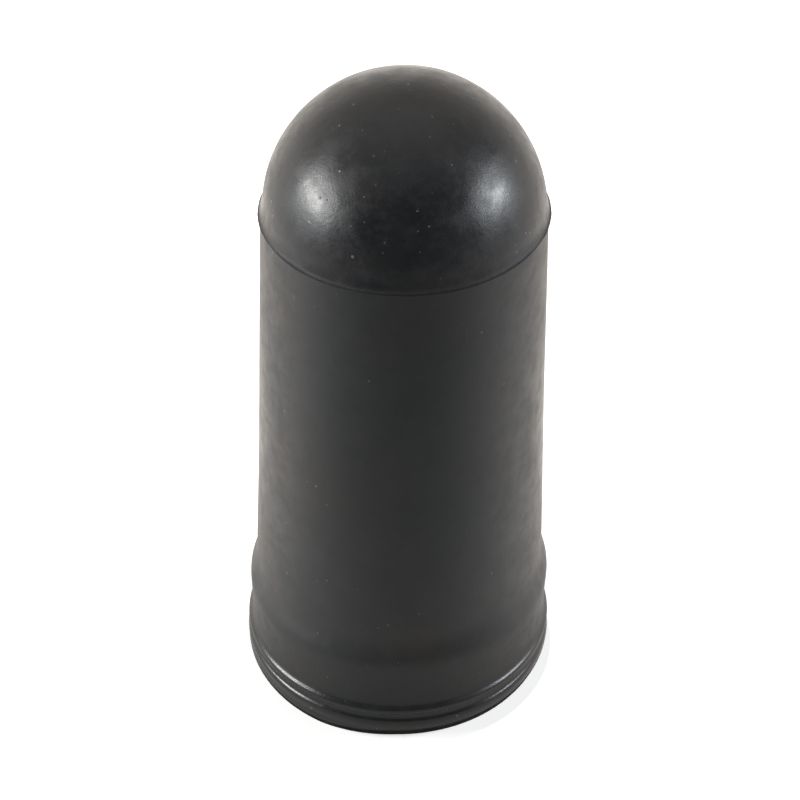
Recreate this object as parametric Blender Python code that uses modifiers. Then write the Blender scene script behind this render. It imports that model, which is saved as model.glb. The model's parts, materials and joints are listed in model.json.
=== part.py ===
"""Hitch pin lock in a domed rubber weather boot.

The lock stands on its mouth with the keyway at the top. The Z axis is the axis of the hitch pin
that the lock takes from below, and the origin is the centre of the foot of the boot.

The boot slips down over a turned steel body. The body's lower bore holds a ball cage, the socket for
the grooved end of a 5/8 inch hitch pin, with two locking balls in its wall and a cam cup round it.
The upper bore holds a seven-pin tubular lock cylinder, whose spindle turns the cam cup by its tail.
The cam pockets are spirals, so the balls move out evenly as the spindle turns.
"""

import math

import bmesh
import bpy
from mathutils import Matrix, Vector

MM = 0.001
GAP = 0.3  # clearance between neighbouring pieces, in millimetres

# ---------------------------------------------------------------------------
# Driving dimensions, in millimetres. Heights are above the foot of the boot.
# ---------------------------------------------------------------------------

# Weather boot
FIN_HEIGHT = 78.0  # parting line between the dome and the sleeve
FIN_RADIUS = 19.0
FIN_THICKNESS = 0.5
DOME_RADIUS = 18.5
DOME_RISE = 18.25
DOME_POWER = 1.1  # a little more pointed than a half ellipse
SLEEVE_TOP_RADIUS = 18.7
SLEEVE_MIDDLE_RADIUS = 19.25
SLEEVE_FOOT_RADIUS = 20.05
SLEEVE_FOOT_HEIGHT = 19.0
BOOT_BORE_TOP = 16.5
BOOT_BORE_FOOT = 17.9
BOOT_BORE_FOOT_HEIGHT = 18.6
BOOT_SKIRT_BORE = 19.0
BOOT_SKIRT_HEIGHT = 17.0
BOOT_BORE_DOME_RISE = 16.2
BOOT_TRAVEL = 95.0  # lifts the boot clear of the body

# Below the sleeve: shoulder, bulge, waist and the two rings of the lip, as (radius, height)
BOOT_SKIRT = (
    (20.35, 17.4),
    (20.95, 15.8),
    (21.12, 14.4),  # crest of the bulge
    (21.02, 12.4),
    (20.95, 10.2),  # waist
    (20.98, 7.3),
    (21.25, 6.6),
    (21.50, 6.1),  # crest of the upper ring
    (21.40, 5.5),
    (21.20, 5.0),  # groove between the rings
    (21.27, 4.6),
    (21.50, 4.1),
    (21.55, 3.4),  # crest of the lower ring
    (21.45, 2.4),
    (21.05, 1.4),
    (20.55, 0.6),
    (20.10, 0.0),
)

# Hitch pin and its socket
PIN_BORE = 8.25  # the 5/8 inch pin is 7.94 mm in radius
SOCKET_END = 36.6
MOUTH_HEIGHT = 0.6  # the mouth sits just inside the boot's lip

# Locking balls and the cam
BALL_RADIUS = 2.2
BALL_HEIGHT = 20.0
BALL_BITE = 1.5  # how far a locked ball stands into the socket
BALL_TRAVEL = 1.7
KEY_TURN = math.radians(90)
CAGE_RADIUS = 10.05
CAM_RADIUS = 13.9
CAM_TOP = 42.7
CAM_FOOT = 7.2
CAM_DISC_THICKNESS = 3.5

# Lock body
BODY_RADIUS = 15.9
BODY_TOP = 83.5
BODY_FLANGE_RADIUS = 18.6
WEB_FOOT = 44.0
WEB_TOP = 47.5
LOWER_BORE = CAM_RADIUS + GAP
NUT_BORE = 15.0
UPPER_BORE = 10.5
RING_HEIGHT = 15.0  # retaining ring under the boot's bulge
RING_MAJOR = 17.1
RING_MINOR = 1.6

# Tubular lock cylinder
CASE_RADIUS = 10.2
CASE_FOOT = 50.0
CASE_TOP = 80.7
CASE_BORE = 7.6
CASE_LIP_FOOT = 77.0
KEYWAY_RADIUS = 5.3
POST_RADIUS = 4.0
SPINDLE_RADIUS = 3.2
CARRIER_FOOT = 66.5  # the shear line lies just under it
CARRIER_TOP = 76.7
STATOR_TOP = 66.2
STATOR_FOOT = 52.0
TAIL_FOOT = 39.5
TAIL_HALF_WIDTH = 1.5
TUMBLERS = 7
TUMBLER_PITCH = math.radians(45)  # the eighth place is the key notch
TUMBLER_CIRCLE = 5.2
TUMBLER_RADIUS = 1.0
TUMBLER_HOLE = 1.15
TUMBLER_HOLE_FOOT = 55.2
KEY_CUTS = (1.4, 2.2, 0.9, 1.8, 2.5, 1.1, 1.6)  # depth of each cut of the key
DRIVER_LENGTH = 4.0
SPRING_FOOT = 55.4
SPRING_TOP = 61.8
SPRING_RADIUS = 0.72
SPRING_WIRE = 0.15
SPRING_TURNS = 4

# How finely round pieces are made
BOOT_STEPS = 40
BODY_STEPS = 36
CORE_STEPS = 28
SMALL_STEPS = 12
DOME_POINTS = 11
SHARP_ANGLE = math.radians(32)


# ---------------------------------------------------------------------------
# Scene and materials
# ---------------------------------------------------------------------------


def clear_scene():
    for obj in list(bpy.data.objects):
        bpy.data.objects.remove(obj)


def new_collection(name):
    collection = bpy.data.collections.new(name)
    bpy.context.scene.collection.children.link(collection)
    return collection


def new_material(name, colour, roughness, metallic=0.0):
    material = bpy.data.materials.new(name)
    material.use_nodes = True
    shader = material.node_tree.nodes["Principled BSDF"]
    shader.inputs["Base Color"].default_value = (*colour, 1)
    shader.inputs["Roughness"].default_value = roughness
    shader.inputs["Metallic"].default_value = metallic
    return material


clear_scene()
PARTS = new_collection("hitch_pin_lock")
CUTTERS = new_collection("cutters")

BOOT_RUBBER = new_material("boot_rubber", (0.022, 0.022, 0.021), 0.42)
SEAL_RUBBER = new_material("seal_rubber", (0.015, 0.015, 0.015), 0.55)
BODY_STEEL = new_material("body_steel", (0.42, 0.42, 0.43), 0.35, 1.0)
HARD_STEEL = new_material("hard_steel", (0.30, 0.30, 0.31), 0.28, 1.0)
BRIGHT_STEEL = new_material("bright_steel", (0.62, 0.62, 0.63), 0.18, 1.0)
BRASS = new_material("brass", (0.62, 0.45, 0.18), 0.30, 1.0)


# ---------------------------------------------------------------------------
# Shapes
# ---------------------------------------------------------------------------


def shaded(mesh):
    """Smooth round faces with crisp edges between them."""
    mesh.shade_smooth()
    mesh.set_sharp_from_angle(angle=SHARP_ANGLE)
    return mesh


def add_part(name, mesh, material, at=(0, 0, 0), parent=None):
    """A named sub-part, placed in millimetres in the object's frame."""
    obj = bpy.data.objects.new(name, mesh)
    obj.location = Vector(at) * MM
    obj.data.materials.clear()
    obj.data.materials.append(material)
    PARTS.objects.link(obj)
    if parent:
        obj.parent = parent
        obj.location -= parent.location
    return obj


def add_axis(name, at=(0, 0, 0)):
    """An empty on the axis of a joint, which carries the pieces that move about it."""
    empty = bpy.data.objects.new(name, None)
    empty.location = Vector(at) * MM
    empty.empty_display_size = 5 * MM
    PARTS.objects.link(empty)
    return empty


def turned_mesh(name, outline, steps, closed):
    """An outline of (radius, height) in millimetres turned about Z by a Screw modifier.

    The outline runs down its outer side. A closed one makes a ring, and an open one starts and ends
    on the axis.
    """
    profile = bpy.data.meshes.new(name + "_profile")
    count = len(outline)
    edges = [(i, i + 1) for i in range(count - 1)]
    if closed:
        edges.append((count - 1, 0))
    profile.from_pydata([(r * MM, 0, z * MM) for r, z in outline], edges, [])
    guide = bpy.data.objects.new(name + "_profile", profile)
    PARTS.objects.link(guide)
    screw = guide.modifiers.new("Turn", "SCREW")
    screw.axis = "Z"
    screw.steps = steps
    screw.render_steps = steps
    screw.use_merge_vertices = True
    screw.merge_threshold = 0.00001
    bpy.context.view_layer.update()
    evaluated = guide.evaluated_get(bpy.context.evaluated_depsgraph_get())
    mesh = bpy.data.meshes.new_from_object(evaluated)
    mesh.name = name
    bpy.data.objects.remove(guide)
    return shaded(mesh)


def turned(name, outline, material, steps=CORE_STEPS, closed=True, parent=None):
    return add_part(name, turned_mesh(name, outline, steps, closed), material, parent=parent)


def cylinder_mesh(name, radius, foot, top, sides=SMALL_STEPS, axis="Z"):
    """A cylinder between two heights in millimetres on Z, or lying along X or Y."""
    mesh = bpy.data.meshes.new(name)
    form = bmesh.new()
    bmesh.ops.create_cone(
        form,
        cap_ends=True,
        segments=sides,
        radius1=radius * MM,
        radius2=radius * MM,
        depth=(top - foot) * MM,
        matrix=Matrix.Translation((0, 0, (foot + top) / 2 * MM)),
    )
    if axis != "Z":
        turn = Matrix.Rotation(math.pi / 2, 3, "Y" if axis == "X" else "X")
        if axis == "Y":
            turn.invert()
        bmesh.ops.transform(form, matrix=turn.to_4x4(), verts=form.verts)
    form.to_mesh(mesh)
    form.free()
    return shaded(mesh)


def box_mesh(name, low, high):
    """A box between two corners, in millimetres."""
    mesh = bpy.data.meshes.new(name)
    form = bmesh.new()
    low = Vector(low) * MM
    high = Vector(high) * MM
    size = Matrix.Diagonal((*(high - low), 1))
    bmesh.ops.create_cube(form, size=1, matrix=Matrix.Translation((low + high) / 2) @ size)
    form.to_mesh(mesh)
    form.free()
    return mesh


def torus(name, major, minor, height, material, steps, sides=8):
    """A ring of round section, turned from a circle."""
    outline = [
        (
            major + minor * math.cos(-math.tau * i / sides),
            height + minor * math.sin(-math.tau * i / sides),
        )
        for i in range(sides)
    ]
    return turned(name, outline, material, steps)


def cut(part, mesh, at=(0, 0, 0)):
    """Takes the shape of a mesh out of a part, with a hidden cutter."""
    cutter = bpy.data.objects.new(mesh.name, mesh)
    cutter.location = Vector(at) * MM
    cutter.hide_render = True
    cutter.display_type = "WIRE"
    CUTTERS.objects.link(cutter)
    boolean = part.modifiers.new("Cut " + mesh.name, "BOOLEAN")
    boolean.operation = "DIFFERENCE"
    boolean.object = cutter


def tumbler_place(index):
    """Where a tumbler stands on its circle. The key notch is at +Y, and the places go round from there."""
    angle = math.pi / 2 + TUMBLER_PITCH * (index + 1)
    return TUMBLER_CIRCLE * math.cos(angle), TUMBLER_CIRCLE * math.sin(angle)


def cut_tumbler_holes(part, foot, top):
    """Drills the ring of tumbler holes. They are spun a little, so no corner meets a corner of the part."""
    for index in range(TUMBLERS):
        hole = cylinder_mesh(f"{part.name}_hole_{index + 1}", TUMBLER_HOLE, foot, top)
        hole.transform(Matrix.Rotation(math.radians(11), 4, "Z"))
        cut(part, hole, (*tumbler_place(index), 0))


# ---------------------------------------------------------------------------
# Weather boot
# ---------------------------------------------------------------------------


def dome_outline(radius, rise, power, points):
    """From the crown down to the foot of a dome that stands at the parting line."""
    outline = []
    for i in range(points):
        angle = math.pi / 2 * (1 - i / (points - 1))
        outline.append((radius * math.cos(angle) ** power, FIN_HEIGHT + rise * math.sin(angle)))
    outline[0] = (0.0, FIN_HEIGHT + rise)
    return outline


def sleeve_outline(points):
    """The draft of the sleeve: a parabola through its top, middle and foot."""
    top = FIN_HEIGHT - FIN_THICKNESS
    bow = 4 * SLEEVE_MIDDLE_RADIUS - 2 * (SLEEVE_TOP_RADIUS + SLEEVE_FOOT_RADIUS)
    outline = []
    for i in range(points):
        down = i / (points - 1)
        straight = SLEEVE_TOP_RADIUS + (SLEEVE_FOOT_RADIUS - SLEEVE_TOP_RADIUS) * down
        outline.append(
            (straight + bow * down * (1 - down), top + (SLEEVE_FOOT_HEIGHT - top) * down)
        )
    return outline


def make_boot():
    outline = dome_outline(DOME_RADIUS, DOME_RISE, DOME_POWER, DOME_POINTS)
    outline += [(FIN_RADIUS, FIN_HEIGHT), (FIN_RADIUS, FIN_HEIGHT - FIN_THICKNESS)]
    outline += sleeve_outline(5)
    outline += BOOT_SKIRT
    outline += [
        (BOOT_SKIRT_BORE, 0.0),
        (BOOT_SKIRT_BORE, BOOT_SKIRT_HEIGHT),
        (BOOT_BORE_FOOT, BOOT_BORE_FOOT_HEIGHT),
    ]
    outline += dome_outline(BOOT_BORE_TOP, BOOT_BORE_DOME_RISE, 1.0, DOME_POINTS - 2)[::-1]
    slide = add_axis("boot_slide_axis")
    turned("weather_boot", outline, BOOT_RUBBER, BOOT_STEPS, closed=False, parent=slide)


# ---------------------------------------------------------------------------
# Lock body and what closes its mouth
# ---------------------------------------------------------------------------


def make_body():
    groove = RING_MAJOR - RING_MINOR - GAP
    groove_half = RING_MINOR + GAP
    land = 16.5
    outer = [
        (14.0, BODY_TOP),
        (15.0, 82.6),
        (15.65, 81.0),
        (BODY_RADIUS, 79.0),
        (BODY_RADIUS, 18.0),
        (land, 17.5),
        (land, RING_HEIGHT + groove_half),
        (groove, RING_HEIGHT + groove_half),
        (groove, RING_HEIGHT - groove_half),
        (land, RING_HEIGHT - groove_half),
        (land, 9.0),
        (BODY_FLANGE_RADIUS, 8.2),
        (BODY_FLANGE_RADIUS, 1.4),
        (17.8, MOUTH_HEIGHT),
    ]
    counterbore = 12.3
    inner = [
        (NUT_BORE, MOUTH_HEIGHT),
        (NUT_BORE, 6.8),
        (LOWER_BORE, 6.8),
        (LOWER_BORE, WEB_FOOT),
        (4.2, WEB_FOOT),
        (4.2, WEB_TOP),
        (UPPER_BORE, WEB_TOP),
        (UPPER_BORE, 76.8),
        (counterbore, 76.8),
        (counterbore, 81.0),
        (13.2, 81.0),  # groove of the snap ring
        (13.2, 82.3),
        (counterbore, 82.3),
        (counterbore, BODY_TOP),
    ]
    body = turned("lock_body", outer + inner, BODY_STEEL, BODY_STEPS)
    cut(body, cylinder_mesh("case_screw_hole", 1.8, 9.0, 18.0, axis="Y"), (0, 0, 70))
    cut(body, cylinder_mesh("nut_screw_hole", 1.1, 14.0, 20.0, axis="Y"), (0, 0, 2))

    torus(
        "boot_retaining_ring", RING_MAJOR, RING_MINOR, RING_HEIGHT, SEAL_RUBBER, BODY_STEPS
    )


def make_mouth():
    nut_radius = NUT_BORE - GAP
    nut = turned(
        "mouth_nut",
        [
            (nut_radius, 3.3),
            (nut_radius, MOUTH_HEIGHT),
            (9.5, MOUTH_HEIGHT),
            (8.5, 1.6),
            (8.5, 3.3),
        ],
        BODY_STEEL,
    )
    spanner_circle = 12.0
    for side in (-1, 1):
        hole = cylinder_mesh("spanner_hole", 1.1, -1.0, 2.4)
        cut(nut, hole, (side * spanner_circle, 0, 0))
    torus("mouth_seal", 8.95, 1.05, 4.7, SEAL_RUBBER, CORE_STEPS)
    screw = cylinder_mesh("nut_set_screw", 0.9, nut_radius + 0.25, 18.3, axis="Y")
    screw = add_part("nut_set_screw", screw, HARD_STEEL, (0, 0, 2))
    cut(screw, cylinder_mesh("nut_screw_socket", 0.5, 17.3, 19.0, sides=6, axis="Y"), (0, 0, 2))


# ---------------------------------------------------------------------------
# Ball cage, balls and cam
# ---------------------------------------------------------------------------


def make_cage():
    flange = NUT_BORE - GAP
    cage = turned(
        "ball_cage",
        [
            (0.0, CAM_TOP - CAM_DISC_THICKNESS - GAP),
            (CAGE_RADIUS, CAM_TOP - CAM_DISC_THICKNESS - GAP),
            (CAGE_RADIUS, 6.5),
            (flange, 6.5),
            (flange, 3.6),
            (10.3, 3.6),
            (10.3, 5.9),
            (PIN_BORE, 5.9),
            (PIN_BORE, SOCKET_END),
            (0.0, SOCKET_END),
        ],
        HARD_STEEL,
        closed=False,
    )
    hole = cylinder_mesh("ball_holes", BALL_RADIUS + GAP, -12, 12, sides=16, axis="X")
    cut(cage, hole, (0, 0, BALL_HEIGHT))


def make_balls():
    centre = PIN_BORE - BALL_BITE + BALL_RADIUS
    for name, side in (("locking_ball_right", 1), ("locking_ball_left", -1)):
        mesh = bpy.data.meshes.new(name)
        form = bmesh.new()
        bmesh.ops.create_uvsphere(form, u_segments=14, v_segments=8, radius=BALL_RADIUS * MM)
        form.to_mesh(mesh)
        form.free()
        mesh.shade_smooth()
        add_part(name, mesh, BRIGHT_STEEL, (side * centre, 0, BALL_HEIGHT))


def cam_pocket_mesh(name):
    """The space that a ball needs in the cam: its floor is a spiral that rises by BALL_TRAVEL over
    the turn of the key, so the ball's place is in proportion to the key's angle."""
    floor = PIN_BORE - BALL_BITE + 2 * BALL_RADIUS + GAP
    slack = math.radians(13)
    first, last = -slack, KEY_TURN + 1.2 * slack
    points = 15
    angles = [first + (last - first) * i / (points - 1) for i in range(points)]
    outer = []
    for angle in angles:
        radius = floor + BALL_TRAVEL * min(angle / KEY_TURN, 1)
        outer.append((radius * math.cos(angle), radius * math.sin(angle)))
    inner_radius = CAGE_RADIUS - 0.4
    inner = [
        (inner_radius * math.cos(a), inner_radius * math.sin(a)) for a in (last, *angles[-4:0:-4], first)
    ]
    mesh = bpy.data.meshes.new(name)
    form = bmesh.new()
    foot = BALL_HEIGHT - BALL_RADIUS - GAP
    rise = Vector((0, 0, 2 * (BALL_RADIUS + GAP) * MM))
    ring = [form.verts.new((x * MM, y * MM, foot * MM)) for x, y in outer + inner]
    face = form.faces.new(ring)
    moved = bmesh.ops.extrude_face_region(form, geom=[face])["geom"]
    bmesh.ops.translate(
        form, vec=rise, verts=[v for v in moved if isinstance(v, bmesh.types.BMVert)]
    )
    bmesh.ops.recalc_face_normals(form, faces=form.faces)
    form.to_mesh(mesh)
    form.free()
    return mesh


def make_cam(spindle_axis):
    disc_foot = CAM_TOP - CAM_DISC_THICKNESS
    bore = CAGE_RADIUS + GAP
    cam = turned(
        "cam_cup",
        [
            (0.0, CAM_TOP),
            (CAM_RADIUS, CAM_TOP),
            (CAM_RADIUS, CAM_FOOT),
            (bore, CAM_FOOT),
            (bore, disc_foot),
            (0.0, disc_foot),
        ],
        HARD_STEEL,
        BODY_STEPS,
        closed=False,
        parent=spindle_axis,
    )
    for turn in range(2):
        pocket = cam_pocket_mesh(f"ball_pocket_{turn + 1}")
        pocket.transform(Matrix.Rotation(math.pi * turn, 4, "Z"))
        cut(cam, pocket)
    half_length = SPINDLE_RADIUS + 0.2
    half_width = TAIL_HALF_WIDTH + GAP
    slot = box_mesh(
        "tail_slot",
        (-half_length, -half_width, disc_foot - 1),
        (half_length, half_width, CAM_TOP + 1),
    )
    cut(cam, slot)
    turned(
        "cam_thrust_washer",
        [(13.6, WEB_FOOT - GAP), (13.6, CAM_TOP + GAP), (4.6, CAM_TOP + GAP), (4.6, WEB_FOOT - GAP)],
        BRASS,
    )


# ---------------------------------------------------------------------------
# Tubular lock cylinder
# ---------------------------------------------------------------------------


def make_case():
    flange = 12.0
    flange_foot = 78.1
    case = turned(
        "cylinder_case",
        [
            (flange, CASE_TOP),
            (flange, flange_foot),
            (CASE_RADIUS, flange_foot),
            (CASE_RADIUS, CASE_FOOT),
            (CASE_BORE, CASE_FOOT),
            (CASE_BORE, CASE_LIP_FOOT),
            (KEYWAY_RADIUS, CASE_LIP_FOOT),
            (KEYWAY_RADIUS, CASE_TOP - 0.4),
            (KEYWAY_RADIUS + 0.4, CASE_TOP),
        ],
        BRIGHT_STEEL,
    )
    notch = box_mesh("case_key_notch", (-0.9, 4.6, CASE_LIP_FOOT - 0.5), (0.9, 6.7, CASE_TOP + 1))
    cut(case, notch)
    pin_hole = cylinder_mesh("case_pin_hole", 1.1, 7.0, 11.0, axis="X")
    cut(case, pin_hole, (0, 0, 53.6))
    torus("case_seal", 11.25, 0.55, 77.45, SEAL_RUBBER, CORE_STEPS)
    ring = turned(
        "snap_ring", [(13.0, 82.15), (13.0, 81.15), (11.1, 81.15), (11.1, 82.15)], HARD_STEEL
    )
    cut(ring, box_mesh("snap_ring_gap", (10.0, -1.5, 81), (14.0, 1.5, 83)))
    screw = cylinder_mesh("case_set_screw", 1.5, CASE_RADIUS + 0.2, 15.6, axis="Y")
    screw = add_part("case_set_screw", screw, HARD_STEEL, (0, 0, 70))
    cut(screw, cylinder_mesh("case_screw_socket", 0.8, 13.8, 17.0, sides=6, axis="Y"), (0, 0, 70))


def make_stator():
    stator = turned(
        "stator",
        [
            (CASE_BORE - GAP, STATOR_TOP),
            (CASE_BORE - GAP, STATOR_FOOT),
            (SPINDLE_RADIUS + GAP, STATOR_FOOT),
            (SPINDLE_RADIUS + GAP, STATOR_TOP),
        ],
        BRASS,
    )
    cut_tumbler_holes(stator, TUMBLER_HOLE_FOOT, STATOR_TOP + 1)
    cut(stator, cylinder_mesh("stator_pin_hole", 1.1, 4.1, 9.0, axis="X"), (0, 0, 53.6))
    pin = cylinder_mesh("stator_pin", 0.9, 4.4, CASE_RADIUS - 0.3, axis="X")
    add_part("stator_pin", pin, HARD_STEEL, (0, 0, 53.6))


def make_spindle(spindle_axis):
    spindle = turned(
        "spindle",
        [
            (0.0, 80.3),
            (POST_RADIUS - 0.4, 80.3),
            (POST_RADIUS, 79.9),
            (POST_RADIUS, CARRIER_TOP),
            (CASE_BORE - GAP, CARRIER_TOP),
            (CASE_BORE - GAP, CARRIER_FOOT),
            (SPINDLE_RADIUS, CARRIER_FOOT),
            (SPINDLE_RADIUS, TAIL_FOOT + 0.4),
            (SPINDLE_RADIUS - 0.4, TAIL_FOOT),
            (0.0, TAIL_FOOT),
        ],
        BRASS,
        closed=False,
        parent=spindle_axis,
    )
    cut_tumbler_holes(spindle, CARRIER_FOOT - 1, CARRIER_TOP + 1)
    cut(spindle, box_mesh("post_key_notch", (-0.9, 3.0, CARRIER_TOP + 0.3), (0.9, 5.0, 82.0)))
    for side in (-1, 1):
        low, high = sorted((side * TAIL_HALF_WIDTH, side * 2 * SPINDLE_RADIUS))
        flat = box_mesh("tail_flat", (-5, low, TAIL_FOOT - 1), (5, high, WEB_FOOT - 0.5))
        cut(spindle, flat)

    turned(
        "spindle_washer",
        [(5.8, 51.7), (5.8, 51.0), (SPINDLE_RADIUS + 0.2, 51.0), (SPINDLE_RADIUS + 0.2, 51.7)],
        BRIGHT_STEEL,
        parent=spindle_axis,
    )
    nut = add_part(
        "spindle_nut",
        cylinder_mesh("spindle_nut", 5.4, 48.3, 50.7, sides=6),
        BRIGHT_STEEL,
        parent=spindle_axis,
    )
    cut(nut, cylinder_mesh("nut_bore", SPINDLE_RADIUS + 0.2, 47, 52, sides=CORE_STEPS))


def spring_curve():
    """A compression spring on Z, from its foot at the origin to its top, with closed ends."""
    curve = bpy.data.curves.new("tumbler_spring", "CURVE")
    curve.dimensions = "3D"
    curve.bevel_depth = SPRING_WIRE * MM
    curve.bevel_resolution = 1
    curve.use_fill_caps = True
    per_turn = 8
    count = SPRING_TURNS * per_turn + 1
    foot = SPRING_WIRE
    rise = SPRING_TOP - SPRING_FOOT - 2 * SPRING_WIRE
    spline = curve.splines.new("POLY")
    spline.points.add(count - 1)
    for i, point in enumerate(spline.points):
        angle = math.tau * i / per_turn
        height = foot + rise * i / (count - 1)
        point.co = (
            SPRING_RADIUS * math.cos(angle) * MM,
            SPRING_RADIUS * math.sin(angle) * MM,
            height * MM,
            1,
        )
    return curve


def make_tumblers(spindle_axis):
    driver = cylinder_mesh("driver_pin", TUMBLER_RADIUS, -DRIVER_LENGTH, 0)
    spring = spring_curve()
    rest_gap = 0.1
    for index, depth in enumerate(KEY_CUTS):
        x, y = tumbler_place(index)
        number = index + 1
        length = CARRIER_TOP - CARRIER_FOOT - 2 * rest_gap - depth
        key_pin = cylinder_mesh(f"key_pin_{number}", TUMBLER_RADIUS, 0, length)
        foot = CARRIER_FOOT + rest_gap
        add_part(f"key_pin_{number}", key_pin, BRIGHT_STEEL, (x, y, foot), spindle_axis)
        add_part(f"driver_pin_{number}", driver, BRIGHT_STEEL, (x, y, STATOR_TOP - rest_gap))
        add_part(f"tumbler_spring_{number}", spring, BRIGHT_STEEL, (x, y, SPRING_FOOT))


make_boot()
make_body()
make_mouth()
make_cage()
make_balls()
SPINDLE_AXIS = add_axis("key_turn_axis", (0, 0, CARRIER_FOOT))
make_cam(SPINDLE_AXIS)
make_case()
make_stator()
make_spindle(SPINDLE_AXIS)
make_tumblers(SPINDLE_AXIS)
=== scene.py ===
"""Looks of the hitch pin lock: a lock head under a domed black rubber weather boot.

Every piece stands where its CAD node stands and rides on that node's body. Lengths are in
millimetres in the shape code and become metres when a mesh is made.
"""

import json
import math

import bmesh
import bpy
from mathutils import Matrix, Vector, noise


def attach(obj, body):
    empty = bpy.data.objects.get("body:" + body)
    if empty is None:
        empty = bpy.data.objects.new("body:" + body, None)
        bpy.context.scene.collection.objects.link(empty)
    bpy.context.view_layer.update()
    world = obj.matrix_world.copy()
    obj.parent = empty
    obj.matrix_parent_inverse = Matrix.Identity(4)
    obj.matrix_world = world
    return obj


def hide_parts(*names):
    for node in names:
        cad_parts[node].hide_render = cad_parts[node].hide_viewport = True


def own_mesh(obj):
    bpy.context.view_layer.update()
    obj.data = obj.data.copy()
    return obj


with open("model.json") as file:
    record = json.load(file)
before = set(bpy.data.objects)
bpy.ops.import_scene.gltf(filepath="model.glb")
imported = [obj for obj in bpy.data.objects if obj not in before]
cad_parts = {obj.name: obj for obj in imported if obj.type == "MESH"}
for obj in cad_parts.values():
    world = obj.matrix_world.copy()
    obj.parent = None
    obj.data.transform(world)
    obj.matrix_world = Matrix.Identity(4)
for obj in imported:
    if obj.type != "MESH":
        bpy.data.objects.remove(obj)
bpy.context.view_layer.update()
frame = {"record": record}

MM = 0.001
PARTING_LEAN = (0.018, -0.042)  # the rise of the boot's parting line along X and Y
PARTING_DROP = 0.0008  # how far its middle lies below its height at the front, in metres
BODY_OF = {n: b for b, ns in frame["record"]["behaviour"]["bodies"].items() for n in ns}


# ---------------------------------------------------------------------------
# Profiles: lists of (radius, height) in millimetres
# ---------------------------------------------------------------------------


def smooth(points, per_span=5):
    """A Catmull-Rom curve through the points."""
    p = [Vector(q) for q in points]
    p = [2 * p[0] - p[1]] + p + [2 * p[-1] - p[-2]]
    out = []
    for i in range(1, len(p) - 2):
        a, b, c, d = p[i - 1 : i + 3]
        for k in range(per_span):
            t = k / per_span
            q = 0.5 * (
                2 * b + (c - a) * t + (2 * a - 5 * b + 4 * c - d) * t**2
                + (3 * b - a - 3 * c + d) * t**3
            )
            out.append((q.x, q.y))
    out.append((p[-2].x, p[-2].y))
    return out


def rounded(outline, radius, closed=True, points=3, least=0.35):
    """Gives each corner of the outline that turns by more than `least` a small round."""
    n = len(outline)
    out = []
    for i, corner in enumerate(outline):
        here = Vector(corner)
        if not closed and i in (0, n - 1):
            out.append(corner)
            continue
        before, after = Vector(outline[i - 1]), Vector(outline[(i + 1) % n])
        back, on = before - here, after - here
        turn = math.pi - back.angle(on)
        if turn < least:
            out.append(corner)
            continue
        reach = min(radius, 0.4 * back.length, 0.4 * on.length)
        start, end = here + back.normalized() * reach, here + on.normalized() * reach
        for k in range(points + 1):
            t = k / points
            q = start * (1 - t) ** 2 + here * 2 * t * (1 - t) + end * t**2
            out.append((q.x, q.y))
    return out


# ---------------------------------------------------------------------------
# Meshes
# ---------------------------------------------------------------------------


def mesh_from(name, verts, faces, sharp=None):
    """A smooth-shaded mesh. Edges that turn by more than `sharp` degrees stay sharp."""
    mesh = bpy.data.meshes.new(name)
    mesh.from_pydata(verts, [], faces)
    mesh.validate()
    form = bmesh.new()
    form.from_mesh(mesh)
    bmesh.ops.remove_doubles(form, verts=form.verts, dist=1e-7)
    bmesh.ops.recalc_face_normals(form, faces=form.faces)
    form.to_mesh(mesh)
    form.free()
    mesh.shade_smooth()
    if sharp:
        mesh.set_sharp_from_angle(angle=math.radians(sharp))
    return mesh


def lathe(name, outline, steps=96, closed=True, shape=None, sharp=40):
    """Turns an outline about Z.

    shape(angle, r, z) may move each point: it returns its new (x, y, z).
    """
    verts = []
    for r, z in outline:
        for k in range(steps):
            a = math.tau * k / steps
            point = shape(a, r, z) if shape else (r * math.cos(a), r * math.sin(a), z)
            verts.append([c * MM for c in point])
    n = len(outline)
    faces = []
    for i in range(n if closed else n - 1):
        j = (i + 1) % n
        for k in range(steps):
            m = (k + 1) % steps
            faces.append((i * steps + k, j * steps + k, j * steps + m, i * steps + m))
    return mesh_from(name, verts, faces, sharp)


def rod(name, radius, foot, top, sides=24, round_by=0.1, axis="Z"):
    """A rod with rounded ends between two heights on Z, or lying along X or Y."""
    outline = rounded([(0, top), (radius, top), (radius, foot), (0, foot)], round_by, False)
    mesh = lathe(name, outline, sides, closed=False, sharp=50)
    if axis == "X":
        mesh.transform(Matrix.Rotation(math.pi / 2, 4, "Y"))
    if axis == "Y":
        mesh.transform(Matrix.Rotation(-math.pi / 2, 4, "X"))
    return mesh


def block(name, low, high):
    """A plain box between two corners."""
    form = bmesh.new()
    low, high = Vector(low) * MM, Vector(high) * MM
    size = Matrix.Diagonal((*(high - low), 1))
    bmesh.ops.create_cube(form, size=1, matrix=Matrix.Translation((low + high) / 2) @ size)
    mesh = bpy.data.meshes.new(name)
    form.to_mesh(mesh)
    form.free()
    return mesh


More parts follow.
